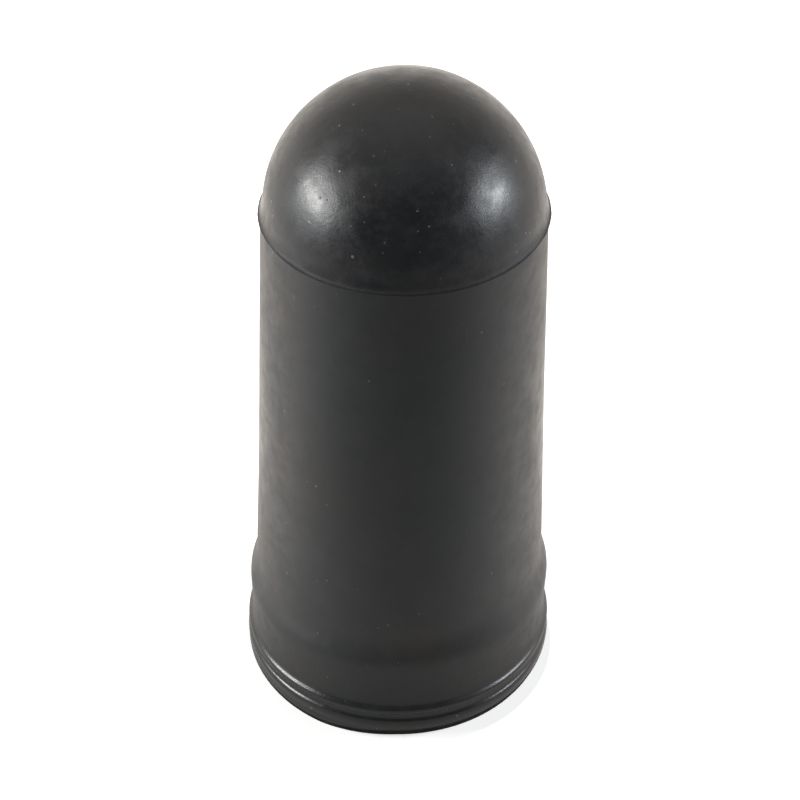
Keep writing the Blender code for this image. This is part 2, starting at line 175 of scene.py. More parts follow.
def carve(mesh, tools, sharp=40):
    """Takes the tool meshes, given with their places in millimetres, out of the mesh."""
    part = bpy.data.objects.new("carve", mesh)
    bpy.context.scene.collection.objects.link(part)
    cutters = []
    for tool, place in tools:
        cutter = bpy.data.objects.new("tool", tool)
        cutter.location = Vector(place) * MM
        bpy.context.scene.collection.objects.link(cutter)
        cutters.append(cutter)
        boolean = part.modifiers.new("cut", "BOOLEAN")
        boolean.operation = "DIFFERENCE"
        boolean.object = cutter
    bpy.context.view_layer.update()
    result = bpy.data.meshes.new_from_object(
        part.evaluated_get(bpy.context.evaluated_depsgraph_get())
    )
    result.name = mesh.name
    for obj in (part, *cutters):
        bpy.data.objects.remove(obj)
    result.shade_smooth()
    result.set_sharp_from_angle(angle=math.radians(sharp))
    return result


def show(node, mesh, material, at=(0, 0, 0)):
    """The piece that stands for a CAD node, on the node's body and with its slot's finish."""
    piece = bpy.data.objects.new(node + "_look", mesh)
    piece.location = Vector(at) * MM
    bpy.context.scene.collection.objects.link(piece)
    mesh.materials.clear()
    mesh.materials.append(material)
    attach(piece, BODY_OF[node])
    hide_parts(node)
    return piece


# ---------------------------------------------------------------------------
# Materials
# ---------------------------------------------------------------------------


class Nodes:
    """Short ways to add nodes to one material or world."""

    def __init__(self, tree):
        self.tree = tree

    def add(self, kind, inputs=None, **settings):
        node = self.tree.nodes.new(kind)
        for key, value in settings.items():
            setattr(node, key, value)
        for key, value in (inputs or {}).items():
            self.put(value, node.inputs[key])
        return node

    def put(self, value, socket):
        if isinstance(value, bpy.types.NodeSocket):
            self.tree.links.new(value, socket)
        else:
            socket.default_value = value

    def math(self, operation, a, b=0.0, clamp=False):
        node = self.add("ShaderNodeMath", {0: a, 1: b}, operation=operation, use_clamp=clamp)
        return node.outputs[0]

    def plus(self, a, b, clamp=False):
        return self.math("ADD", a, b, clamp)

    def times(self, a, b):
        return self.math("MULTIPLY", a, b)

    def vector(self, operation, a, b=(0.0, 0.0, 0.0)):
        return self.add("ShaderNodeVectorMath", {0: a, 1: b}, operation=operation)

    def noise(self, where, scale, detail=3.0, roughness=0.55):
        inputs = {"Vector": where, "Scale": scale, "Detail": detail, "Roughness": roughness}
        return self.add("ShaderNodeTexNoise", inputs).outputs["Fac"]

    def ramp(self, value, low, high, to_low=0.0, to_high=1.0, smooth=True):
        """Goes from to_low to to_high as the value goes from low to high, and stays there."""
        inputs = {
            "Value": value, "From Min": low, "From Max": high, "To Min": to_low, "To Max": to_high,
        }
        kind = "SMOOTHSTEP" if smooth else "LINEAR"
        return self.add("ShaderNodeMapRange", inputs, interpolation_type=kind).outputs["Result"]

    def mix(self, factor, a, b, blend="MIX"):
        node = self.add("ShaderNodeMix", data_type="RGBA", blend_type=blend)
        self.put(factor, node.inputs[0])
        self.put(a, node.inputs[6])
        self.put(b, node.inputs[7])
        return node.outputs[2]

    def bump(self, height, strength, distance, normal=None):
        inputs = {"Height": height, "Strength": strength, "Distance": distance}
        if normal:
            inputs["Normal"] = normal
        return self.add("ShaderNodeBump", inputs).outputs["Normal"]


def new_material(name):
    """A material with its shader and the object's own coordinates, in metres."""
    material = bpy.data.materials.new(name)
    material.use_nodes = True
    nodes = Nodes(material.node_tree)
    shader = material.node_tree.nodes["Principled BSDF"]
    where = nodes.add("ShaderNodeTexCoord").outputs["Object"]
    return material, nodes, shader, where


def specks(nodes, where, cell, size, share):
    """Soft round dots: one in a share of the cells of a pattern.

    cell is the pattern's step and size is the largest dot's radius, in millimetres.
    """
    cells = nodes.add("ShaderNodeTexVoronoi", {"Vector": where, "Scale": 1 / (cell * MM)})
    pick = nodes.add("ShaderNodeSeparateColor", {"Color": cells.outputs["Color"]})
    chosen = nodes.math("LESS_THAN", pick.outputs[0], share)
    radius = nodes.ramp(pick.outputs[1], 0, 1, size / cell * 0.4, size / cell, smooth=False)
    depth = nodes.math("DIVIDE", cells.outputs["Distance"], radius)
    inside = nodes.ramp(depth, 1.0, 0.35)
    faint = nodes.ramp(pick.outputs[2], 0, 1, 0.35, 1.0)
    return nodes.times(nodes.times(chosen, inside), faint)


def boot_rubber():
    """Moulded black rubber: a satin dome above the parting line, a matte, bloomed sleeve below."""
    material, nodes, shader, where = new_material("boot_rubber_look")
    height = nodes.add("ShaderNodeSeparateXYZ", {"Vector": where}).outputs["Z"]

    # The dome and its parting line lean as boot_shape leans them.
    along_lean = (-PARTING_LEAN[0], -PARTING_LEAN[1], 1)
    lean = nodes.vector("DOT_PRODUCT", where, along_lean)
    level = nodes.plus(lean.outputs["Value"], PARTING_DROP)
    dome = nodes.ramp(level, 0.0776, 0.0781)
    parting = nodes.times(
        nodes.ramp(level, 0.0774, 0.0777), nodes.ramp(level, 0.0786, 0.0779)
    )

    # Colour: bloom in clouds, paler down the sleeve but not on its last 15 mm.
    cloud = nodes.ramp(nodes.noise(where, 90, 5, 0.62), 0.36, 0.66)
    mottle = nodes.ramp(nodes.noise(where, 480, 4, 0.65), 0.36, 0.68)
    bloom = nodes.plus(nodes.times(cloud, 0.55), nodes.times(mottle, 0.45))
    low = nodes.times(
        nodes.ramp(height, 0.078, 0.024), nodes.ramp(height, 0.0148, 0.0172, 0.2, 1.0)
    )
    upper = nodes.mix(bloom, (0.0070, 0.0074, 0.0076, 1), (0.0125, 0.0127, 0.0124, 1))
    lower = nodes.mix(bloom, (0.0145, 0.0143, 0.0135, 1), (0.0225, 0.0218, 0.0204, 1))
    sleeve_colour = nodes.mix(low, upper, lower)
    dome_colour = nodes.mix(bloom, (0.0050, 0.0054, 0.0062, 1), (0.0128, 0.0132, 0.0140, 1))
    colour = nodes.mix(dome, sleeve_colour, dome_colour)
    hue = nodes.ramp(nodes.noise(where, 45, 2, 0.5), 0.38, 0.64)
    tint = nodes.mix(hue, (0.94, 1.0, 1.05, 1), (1.10, 0.97, 0.93, 1))
    colour = nodes.mix(1.0, colour, tint, blend="MULTIPLY")

    # Dust and short upright scuffs, more of them on the dome.
    small = specks(nodes, where, 1.4, 0.27, nodes.ramp(dome, 0, 1, 0.10, 0.50))
    dust = nodes.plus(small, specks(nodes, where, 4.2, 0.42, 0.40), True)
    colour = nodes.mix(nodes.times(dust, 0.60), colour, (0.17, 0.168, 0.165, 1))
    stretched = nodes.vector("MULTIPLY", where, (1.0, 0.8, 0.30)).outputs["Vector"]
    scuffs = specks(nodes, stretched, 2.0, 0.26, nodes.ramp(dome, 0, 1, 0.10, 0.45))
    colour = nodes.mix(nodes.times(scuffs, 0.45), colour, (0.055, 0.056, 0.058, 1))
    nodes.put(colour, shader.inputs["Base Color"])

    # Roughness: a satin dome, a matte sleeve and glossy rings at the lip.
    smear = nodes.ramp(nodes.noise(where, 210, 5, 0.68), 0.36, 0.66)
    lip_gloss = nodes.ramp(height, 0.0055, 0.0085, -0.21, 0.0)
    base = nodes.plus(nodes.ramp(dome, 0, 1, 0.43, 0.30), lip_gloss)
    rough = nodes.plus(base, nodes.times(smear, nodes.ramp(dome, 0, 1, 0.06, 0.11)))
    rough = nodes.plus(rough, nodes.times(parting, 0.40))
    patches = nodes.ramp(nodes.noise(where, 480, 3, 0.6), 0.38, 0.66, -0.03, 0.04)
    rough = nodes.plus(rough, patches)
    rough = nodes.plus(rough, nodes.times(dust, 0.12), True)
    nodes.put(rough, shader.inputs["Roughness"])
    shader.inputs["IOR"].default_value = 1.5
    shader.inputs["Sheen Weight"].default_value = 0.20
    shader.inputs["Sheen Roughness"].default_value = 0.20
    shader.inputs["Sheen Tint"].default_value = (1.0, 0.88, 0.78, 1)

    # Relief: a slightly wavy skin, a fine grain and the dust on it.
    skin_strength = nodes.ramp(dome, 0, 1, 0.13, 0.22)
    skin = nodes.bump(nodes.noise(where, 520, 4, 0.6), skin_strength, 0.0002)
    grain = nodes.bump(nodes.noise(where, 3200, 2, 0.5), 0.16, 0.00006, skin)
    raised = nodes.bump(dust, 0.5, 0.0001, grain)
    nodes.put(raised, shader.inputs["Normal"])
    return material


def seal_rubber():
    """Black seal rubber with a fine grain and a little grease that shines in patches."""
    material, nodes, shader, where = new_material("seal_rubber_look")
    patch = nodes.ramp(nodes.noise(where, 500, 3), 0.4, 0.7)
    colour = nodes.mix(patch, (0.010, 0.010, 0.010, 1), (0.022, 0.021, 0.020, 1))
    nodes.put(colour, shader.inputs["Base Color"])
    nodes.put(nodes.ramp(patch, 0, 1, 0.38, 0.62), shader.inputs["Roughness"])
    nodes.put(nodes.bump(nodes.noise(where, 5000, 2), 0.25, 0.00008), shader.inputs["Normal"])
    return material


def turned_metal(name, colour, stain, roughness, marks, mark_depth):
    """Metal with tool marks that run round Z, on its sides and its flats, and with light stains.

    marks is the number of tool marks in a millimetre.
    """
    material, nodes, shader, where = new_material(name)
    place = nodes.add("ShaderNodeSeparateXYZ", {"Vector": where})
    flat = nodes.add("ShaderNodeCombineXYZ", {"X": place.outputs["X"], "Y": place.outputs["Y"]})
    radius = nodes.vector("LENGTH", flat.outputs[0]).outputs["Value"]
    rings = nodes.add("ShaderNodeCombineXYZ", {"X": radius, "Y": place.outputs["Z"]}).outputs[0]
    broad = nodes.noise(rings, marks * 180, 2, 0.5)
    fine = nodes.noise(rings, marks * 1000, 3, 0.7)
    lines = nodes.plus(nodes.times(broad, 0.5), nodes.times(fine, 0.5))
    cloud = nodes.ramp(nodes.noise(where, 120, 5, 0.65), 0.42, 0.72)
    spots = nodes.ramp(nodes.noise(where, 900, 3, 0.6), 0.60, 0.72)
    dull = nodes.plus(nodes.times(cloud, 0.6), nodes.times(spots, 0.4), True)
    base = nodes.mix(dull, (*colour, 1), (*stain, 1))
    # Painted shade: the colour is darker in the tool marks' grooves.
    shade = nodes.ramp(lines, 0.3, 0.7, 0.0, 0.22, smooth=False)
    groove_shade = (*(c * 0.55 for c in colour), 1)
    nodes.put(nodes.mix(shade, base, groove_shade), shader.inputs["Base Color"])
    rough = nodes.ramp(lines, 0.3, 0.7, roughness, roughness + 0.12, smooth=False)
    rough = nodes.plus(rough, nodes.times(dull, 0.16), True)
    nodes.put(rough, shader.inputs["Roughness"])
    shader.inputs["Metallic"].default_value = 1.0
    cuts = nodes.bump(lines, mark_depth, 0.00005)
    dents = nodes.bump(nodes.noise(where, 700, 2), 0.06, 0.0001, cuts)
    nodes.put(dents, shader.inputs["Normal"])
    return material


BOOT_RUBBER = boot_rubber()
SEAL_RUBBER = seal_rubber()
BODY_STEEL = turned_metal(
    "body_steel_look", (0.56, 0.57, 0.59), (0.42, 0.41, 0.38), 0.26, 3, 0.30
)
HARD_STEEL = turned_metal(
    "hard_steel_look", (0.34, 0.34, 0.36), (0.22, 0.20, 0.18), 0.20, 6, 0.18
)
BRIGHT_STEEL = turned_metal(
    "bright_steel_look", (0.74, 0.75, 0.77), (0.60, 0.60, 0.60), 0.09, 8, 0.08
)
BRASS = turned_metal("brass_look", (0.80, 0.58, 0.24), (0.52, 0.36, 0.16), 0.22, 4, 0.22)


# ---------------------------------------------------------------------------
# Weather boot
# ---------------------------------------------------------------------------

FIN_HEIGHT = 78.0  # the parting line, where the dome begins
DOME_RISE = 18.2
FLARE_TOP = 79.8  # the dome spreads a little below this height
FIN_ROOT = 18.6  # the radius where the fin of flash leaves the wall
SKIRT_LEAN = 0.035  # the rise of the skirt's rings along X
LEAN_FROM = 70.0  # the height at which the lean of the parting line begins
FOOT_HEIGHT, FOOT_RADIUS = 2.7, 19.6  # the lip below and outside these is moulded unevenly


def dome_profile(radius, rise, power, points):
    """A dome from its top down to the parting line."""
    out = []
    for i in range(points):
        a = math.pi / 2 * (1 - i / (points - 1))
        out.append((radius * max(math.cos(a), 0) ** power, FIN_HEIGHT + rise * math.sin(a)))
    out[0] = (0.0, FIN_HEIGHT + rise)
    return out


def boot_profile():
    """Half the boot's section: down the outside from the top, and up the inside."""
    dome = [
        (r + 0.42 * max((FLARE_TOP - z) / 1.8, 0.0) ** 2.5, z)
        for r, z in dome_profile(18.5, DOME_RISE, 1.10, 64)
    ]
    fin = smooth([
        (18.97, 77.97), (19.02, 77.93), (18.98, 77.89), (18.78, 77.87), (18.68, 77.82),
        (18.68, 77.72), (18.71, 77.60),
    ], 3)
    sleeve = [
        (18.71 + 1.42 * t - 0.10 * math.sin(math.pi * t), 77.3 - 58.0 * t)
        for t in (i / 40 for i in range(41))
    ]
    skirt = smooth([
        (20.15, 18.9), (20.24, 18.2), (20.42, 17.3), (20.72, 16.3), (20.98, 15.4), (21.10, 14.5),
        (21.08, 13.4), (21.01, 12.0), (20.95, 10.2), (20.95, 8.1), (20.98, 7.45), (21.05, 7.05),
        (21.19, 6.72), (21.42, 6.45), (21.53, 6.15), (21.53, 5.85), (21.44, 5.60), (21.30, 5.42),
        (21.22, 5.15), (21.22, 4.85), (21.30, 4.55), (21.50, 4.27), (21.60, 3.90), (21.61, 3.45),
        (21.55, 2.85), (21.38, 2.15), (21.10, 1.45), (20.70, 0.85), (20.20, 0.35), (19.80, 0.03),
    ], 4)
    bore = [
        (19.45, 0.0), (19.15, 0.12), (19.03, 0.35), (19.0, 1.0), (19.0, 8.0), (19.0, 17.0),
        (18.9, 17.35), (17.95, 18.5), (17.9, 18.9), (17.2, 48), (16.55, 76),
    ]
    crown = dome_profile(16.5, 16.2, 1.0, 20)[::-1]
    return dome[:-1] + fin + sleeve + skirt + bore + crown


def boot_shape(a, r, z):
    """A moulding's faults: an uneven edge of flash, a leaning parting line and a wavy wall."""
    x, y = r * math.cos(a), r * math.sin(a)
    if r < 0.01:
        return x, y, z
    at = Vector((math.cos(a), math.sin(a), z / 30))
    r += 0.05 * noise.noise(at * 1.3)
    fade = min(z / 12, 1.0) * min(max((FIN_HEIGHT + 4 - z) / 4, 0.0), 1.0)
    if r > FOOT_RADIUS and z < FOOT_HEIGHT:
        left = min(max(-2 * math.cos(a), 0.0), 1.0)
        right = max(math.cos(a), 0.0)
        r += (0.85 * left - 0.25 * right) * (1 - z / FOOT_HEIGHT)
    if r > FIN_ROOT and z > 77.6:
        r = FIN_ROOT + (r - FIN_ROOT) * (0.30 + 0.70 * abs(math.cos(a)) ** 4)
        ring = Vector((math.cos(a) * 9, math.sin(a) * 9, 0.0))
        ledge = max(0.0, 1 - abs(z - 77.92) / 0.12)
        r += ledge * (0.03 * noise.noise(ring) + 0.03 * noise.noise(ring * 4))
        z += 0.05 * ledge * noise.noise(ring * 0.35 + Vector((0, 0, 5)))
    if z > LEAN_FROM:
        rise = min((z - LEAN_FROM) / 7, 1.0)
        near = rise * min((FIN_HEIGHT + DOME_RISE - z) / DOME_RISE, 1.0) ** 2.5
        z += near * (PARTING_LEAN[1] * y - PARTING_DROP / MM)
    z += (PARTING_LEAN[0] if z > 40 else SKIRT_LEAN) * fade * x
    return r * math.cos(a), r * math.sin(a), z


boot_mesh = lathe("weather_boot_look", boot_profile(), 256, False, boot_shape, 35)
show("weather_boot", boot_mesh, BOOT_RUBBER)


# ---------------------------------------------------------------------------
# Lock body, its ring and what closes its mouth
# ---------------------------------------------------------------------------


def ring_outline(major, minor, height, sides=20, flash=0.05):
    """A moulded ring's section, with a trace of flash on its parting line."""
    out = []
    for i in range(sides):
        a = -math.tau * i / sides
        r = minor - 0.01 + (flash if i in (0, sides // 2) else 0)
        out.append((major + r * math.cos(a), height + r * math.sin(a)))
    return out


def socket_screw(name, radius, foot, top, key):
    """A set screw along +Y with a crowned head, a hexagon socket and a line of thread."""
    turns = int((top - foot) / 0.35)
    pitch = (top - foot) / turns
    root = radius - 0.14
    outline = [(0, top), (key * 1.25, top), (radius - 0.16, top - 0.12)]
    for i in range(1, turns * 2 - 1):
        outline.append((radius if i % 2 == 0 else root, top - 0.5 * pitch * (i + 0.6)))
    outline += [(radius - 0.25, foot + 0.1), (0, foot)]
    mesh = lathe(name, outline, 40, closed=False, sharp=25)
    socket = [(0, top + 1), (key, top + 1), (key, top - 1.4), (0, top - 1.4)]
    mesh = carve(mesh, [(lathe("hexagon", socket, 6, False), (0, 0, 0))])
    mesh.transform(Matrix.Rotation(-math.pi / 2, 4, "X"))
    return mesh


def show_body():
    """The barrel with its two screw holes, and the ring that holds the boot on."""
    outer = [
        (14.0, 83.5), (15.0, 82.6), (15.65, 81.0), (15.9, 79.0), (15.9, 18.0), (16.5, 17.5),
        (16.5, 16.9), (15.2, 16.9), (15.2, 13.1), (16.5, 13.1), (16.5, 9.0), (18.6, 8.2),
        (18.6, 1.4), (17.8, 0.6),
    ]
    inner = [
        (15.0, 0.6), (15.0, 6.8), (14.2, 6.8), (14.2, 44.0), (4.2, 44.0), (4.2, 47.5), (10.5, 47.5),
        (10.5, 76.8), (12.3, 76.8), (12.3, 81.0), (13.2, 81.0), (13.2, 82.3), (12.3, 82.3),
        (12.3, 83.5),
    ]
    body = lathe("lock_body_look", rounded(outer + inner, 0.3), 160)
    case_hole = rod("case_hole", 1.8, 9, 18, 40, 0.02, "Y")
    nut_hole = rod("nut_hole", 1.1, 14, 20, 32, 0.02, "Y")
    body = carve(body, [(case_hole, (0, 0, 70)), (nut_hole, (0, 0, 2))])
    show("lock_body", body, BODY_STEEL)
    ring = lathe("ring_look", ring_outline(17.1, 1.6, 15.0), 160)
    show("boot_retaining_ring", ring, SEAL_RUBBER)


def show_mouth():
    """The ring nut with its two spanner holes, the seal on the pin and the nut's set screw."""
    section = [(14.7, 3.3), (14.7, 0.6), (9.5, 0.6), (8.5, 1.6), (8.5, 3.3)]
    nut = lathe("nut_look", rounded(section, 0.25), 120)
    places = [(side * 12.0, 0, 0) for side in (-1, 1)]
    holes = [(rod("hole", 1.1, -1.0, 2.4, 32, 0.05), place) for place in places]
    cone = [(0, 0.9), (1.05, 0.9), (1.55, 0.3), (0, 0.3)]
    chamfers = [(lathe("chamfer", cone, 32, False), place) for place in places]
    show("mouth_nut", carve(nut, holes + chamfers), BODY_STEEL)
    show("mouth_seal", lathe("seal_look", ring_outline(8.95, 1.05, 4.7), 120), SEAL_RUBBER)
    screw = socket_screw("nut_screw_look", 0.9, 14.95, 18.3, 0.5)
    show("nut_set_screw", screw, HARD_STEEL, (0, 0, 2))


show_body()
show_mouth()


# ---------------------------------------------------------------------------
# Ball cage, balls and cam
# ---------------------------------------------------------------------------

BALL_RADIUS = 2.195
BALL_CENTRE = 8.95  # from Z, when the lock is shut
BALL_HEIGHT = 20.0
POCKET_FLOOR = 11.45  # the radius of the cam's pocket where the ball is held in
POCKET_RISE = 1.7  # how much deeper it is a quarter turn on


def show_cage():
    """The cage round the pin's head, with one cross hole for both balls."""
    outline = [
        (0.0, 38.9), (10.05, 38.9), (10.05, 6.5), (14.7, 6.5), (14.7, 3.6), (10.3, 3.6),
        (10.3, 5.9), (8.25, 5.9), (8.25, 36.6), (0.0, 36.6),
    ]
    cage = lathe("cage_look", rounded(outline, 0.3, False), 128, closed=False)
    holes = rod("ball_holes", 2.5, -12, 12, 48, 0.02, "X")
    show("ball_cage", carve(cage, [(holes, (0, 0, BALL_HEIGHT))]), HARD_STEEL)


def show_balls():
    """Balls with the narrow polished band that rolling in the groove leaves."""
    for node, side in (("locking_ball_right", 1), ("locking_ball_left", -1)):
        outline = []
        for i in range(33):
            a = math.pi * i / 32
            worn = 0.012 * max(0.0, 1 - abs(i - 16) / 2.5)
            r = BALL_RADIUS - worn
            outline.append((r * math.sin(a), r * math.cos(a)))
        outline[0], outline[-1] = (0.0, BALL_RADIUS), (0.0, -BALL_RADIUS)
        ball = lathe(node, outline, 56, False)
        show(node, ball, BRIGHT_STEEL, (side * BALL_CENTRE, 0, BALL_HEIGHT))


def pocket(turn):
    """The room that a ball needs in the cam: its floor is a spiral."""
    slack = math.radians(13)
    first, last = -slack, math.pi / 2 + 1.2 * slack
    angles = [first + (last - first) * i / 40 for i in range(41)]
    ring = []
    for a in angles:
        r = POCKET_FLOOR + POCKET_RISE * min(a / (math.pi / 2), 1)
        ring.append((r * math.cos(a + turn), r * math.sin(a + turn)))
    ring += [(9.65 * math.cos(a + turn), 9.65 * math.sin(a + turn)) for a in angles[::-1]]
    n = len(ring)
    verts = [(x * MM, y * MM, z * MM) for z in (17.5, 22.5) for x, y in ring]
    faces = [tuple(range(n)), tuple(range(2 * n - 1, n - 1, -1))]
    faces += [(i, (i + 1) % n, n + (i + 1) % n, n + i) for i in range(n)]
    return mesh_from("pocket", verts, faces)


def show_cam():
    """The cam cup, with a pocket for each ball and the spindle's slot, and its washer."""
    outline = [(0.0, 42.7), (13.9, 42.7), (13.9, 7.2), (10.35, 7.2), (10.35, 39.2), (0.0, 39.2)]
    cam = lathe("cam_look", rounded(outline, 0.3, False), 144, closed=False)
    slot = block("slot", (-3.4, -1.8, 38), (3.4, 1.8, 44))
    cam = carve(cam, [(pocket(0.0), (0, 0, 0)), (pocket(math.pi), (0, 0, 0)), (slot, (0, 0, 0))])
    show("cam_cup", cam, HARD_STEEL)
    washer = [(13.6, 43.7), (13.6, 43.0), (4.6, 43.0), (4.6, 43.7)]
    show("cam_thrust_washer", lathe("washer_look", rounded(washer, 0.15), 96), BRASS)


show_cage()
show_balls()
show_cam()


# ---------------------------------------------------------------------------
# Tubular lock cylinder
# ---------------------------------------------------------------------------

TUMBLER_CIRCLE = 5.2
KEY_CUTS = (1.4, 2.2, 0.9, 1.8, 2.5, 1.1, 1.6)  # one for each of the seven key pins
SPRING_FREE, SPRING_PRESSED = 6.4, 4.4
STATOR_PIN_HEIGHT = 53.6


def tumbler_place(index):
    """The tumblers stand 45 degrees apart. The eighth place, at +Y, is left to the notch."""
    a = math.pi / 2 + math.radians(45) * (index + 1)
    return TUMBLER_CIRCLE * math.cos(a), TUMBLER_CIRCLE * math.sin(a)


def tumbler_holes(foot, top):
    return [
        (rod("hole", 1.13, foot, top, 28, 0.02), (*tumbler_place(i), 0))
        for i in range(len(KEY_CUTS))
    ]


def show_case():
    """The cylinder's case with its seal, the snap ring over it and its set screw."""
    outline = [
        (12.0, 80.7), (12.0, 78.1), (10.2, 78.1), (10.2, 50.0), (7.6, 50.0), (7.6, 77.0),
        (5.3, 77.0), (5.3, 80.3), (5.7, 80.7),
    ]
    case = lathe("case_look", rounded(outline, 0.35), 128)
    notch = block("notch", (-0.9, 4.6, 76.5), (0.9, 6.7, 81.7))
    pin_hole = rod("pin_hole", 1.1, 7.0, 11.0, 28, 0.02, "X")
    case = carve(case, [(notch, (0, 0, 0)), (pin_hole, (0, 0, STATOR_PIN_HEIGHT))])
    show("cylinder_case", case, BRIGHT_STEEL)
    seal = lathe("case_seal_look", ring_outline(11.25, 0.55, 77.45, 16, 0.03), 120)
    show("case_seal", seal, SEAL_RUBBER)
    section = [(13.0, 82.15), (13.0, 81.15), (11.1, 81.15), (11.1, 82.15)]
    ring = lathe("snap_look", rounded(section, 0.2), 120)
    gap = block("gap", (10.0, -1.5, 80.9), (14.0, 1.5, 82.4))
    show("snap_ring", carve(ring, [(gap, (0, 0, 0))]), HARD_STEEL)
    screw = socket_screw("case_screw_look", 1.5, 10.4, 15.6, 0.8)
    show("case_set_screw", screw, HARD_STEEL, (0, 0, 70))


def show_stator():
    """The fixed half of the cylinder, which holds the springs and driver pins, and its pin."""
    outline = [(7.3, 66.2), (7.3, 52.0), (3.5, 52.0), (3.5, 66.2)]
    stator = lathe("stator_look", rounded(outline, 0.2), 112)
    pin_hole = rod("pin_hole", 1.1, 4.1, 9.0, 28, 0.02, "X")
    cross_hole = (pin_hole, (0, 0, STATOR_PIN_HEIGHT))
    show("stator", carve(stator, tumbler_holes(55.2, 67.2) + [cross_hole]), BRASS)
    pin = rod("stator_pin_look", 0.9, 4.4, 9.9, 32, 0.2, "X")
    show("stator_pin", pin, HARD_STEEL, (0, 0, STATOR_PIN_HEIGHT))


def show_spindle():
    """The half that the key turns, with the washer and the nut on its driving end."""
    outline = [
        (0.0, 80.3), (3.6, 80.3), (4.0, 79.9), (4.0, 76.7), (7.3, 76.7), (7.3, 66.5), (3.2, 66.5),
        (3.2, 39.9), (2.8, 39.5), (0.0, 39.5),
    ]
    spindle = lathe("spindle_look", rounded(outline, 0.2, False), 112, closed=False)
    tools = tumbler_holes(65.5, 77.7)
    tools.append((block("notch", (-0.9, 3.0, 77.0), (0.9, 5.0, 82.0)), (0, 0, 0)))
    tools.append((block("flat", (-5, 1.5, 38.5), (5, 6.4, 43.5)), (0, 0, 0)))
    tools.append((block("flat", (-5, -6.4, 38.5), (5, -1.5, 43.5)), (0, 0, 0)))
    show("spindle", carve(spindle, tools), BRASS)
    washer = [(5.8, 51.7), (5.8, 51.0), (3.4, 51.0), (3.4, 51.7)]
    show("spindle_washer", lathe("spindle_washer_look", rounded(washer, 0.15), 80), BRIGHT_STEEL)
    nut = lathe("hex", [(0, 50.7), (5.4, 50.7), (5.4, 48.3), (0, 48.3)], 6, False)
    nut.transform(Matrix.Rotation(math.pi / 2, 4, "Z"))
    bore = [
        (0, 52), (4.0, 52), (4.0, 50.75), (3.4, 50.3), (3.4, 48.7), (4.0, 48.25), (4.0, 47),
        (0, 47),
    ]
    nut = carve(nut, [(lathe("bore", bore, 64, False), (0, 0, 0))])
    show("spindle_nut", nut, BRIGHT_STEEL)


def spring_mesh(name, foot, top, radius, wire, turns):
    """A compression spring with closed ends, swept along its coil."""
    steps, sides = 26, 10
    count = (turns + 2) * steps
    rise = (top - foot - 2 * wire - 4 * wire * 1.04) / turns
    path = []
    for i in range(count + 1):
        turn = i / steps
        dead = min(turn, 1) + max(turn - turns - 1, 0)
        z = foot + wire + dead * 2 * wire * 1.04 + (turn - dead) * rise
        a = math.tau * turn
        path.append(Vector((radius * math.cos(a), radius * math.sin(a), z)))
    verts, faces = [], []
    for i, at in enumerate(path):
        ahead = (path[min(i + 1, count)] - path[max(i - 1, 0)]).normalized()
        out = Vector((at.x, at.y, 0)).normalized()
        up = ahead.cross(out)
        for k in range(sides):
            a = math.tau * k / sides
            verts.append((at + wire * (out * math.cos(a) + up * math.sin(a))) * MM)
    for i in range(count):
        for k in range(sides):
            m = (k + 1) % sides
            faces.append((i * sides + k, i * sides + m, (i + 1) * sides + m, (i + 1) * sides + k))
    faces += [tuple(range(sides)), tuple(count * sides + k for k in reversed(range(sides)))]
    return mesh_from(name, verts, faces)


def show_tumblers():
    """Seven key pins, as long as the key's cuts ask, on spool driver pins and springs."""
    spool = [
        (0, 0), (0.9, 0), (1.0, -0.12), (1.0, -1.0), (0.75, -1.25), (0.75, -2.6), (1.0, -2.85),
        (1.0, -3.88), (0.9, -4.0), (0, -4.0),
    ]
    for index, depth in enumerate(KEY_CUTS):
        x, y = tumbler_place(index)
        number = index + 1
        length = 10.0 - depth
        nose = [(0, length), (0.55, length - 0.02), (0.8, length - 0.12), (1.0, length - 0.4)]
        outline = nose + [(1.0, 0.12), (0.9, 0.0), (0, 0)]
        key_pin = lathe(f"key_pin_look_{number}", outline, 32, False, sharp=50)
        show(f"key_pin_{number}", key_pin, BRIGHT_STEEL, (x, y, 66.6))
        driver = lathe(f"driver_pin_look_{number}", spool, 32, False, sharp=30)
        show(f"driver_pin_{number}", driver, BRIGHT_STEEL, (x, y, 66.1))
        coil = spring_mesh(f"spring_look_{number}", 0, SPRING_FREE, 0.72, 0.15, 4)
        spring = show(f"tumbler_spring_{number}", coil, BRIGHT_STEEL, (x, y, 55.4))
        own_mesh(spring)


show_case()
show_stator()
show_spindle()
show_tumblers()


# ---------------------------------------------------------------------------
# Studio: pale floor, soft light and the camera
# ---------------------------------------------------------------------------

CONTACT_EDGE = 22.3  # where the dark ring of painted shade ends and the ring of painted floor reflection begins


def stage_floor(name, mesh, material):
    """Stands a mesh in the scene as part of the floor."""
    mesh.materials.append(material)
    floor = bpy.data.objects.new(name, mesh)
    bpy.context.scene.collection.objects.link(floor)
    return floor


def end_in_mix(nodes, factor, first, second, output):
    """Sends a mix of two shaders to the tree's output node."""
    links = nodes.tree.links
    mix = nodes.add("ShaderNodeMixShader")
    nodes.put(factor, mix.inputs[0])
    links.new(first.outputs[0], mix.inputs[1])
    links.new(second.outputs[0], mix.inputs[2])
    links.new(mix.outputs[0], nodes.tree.nodes[output].inputs["Surface"])


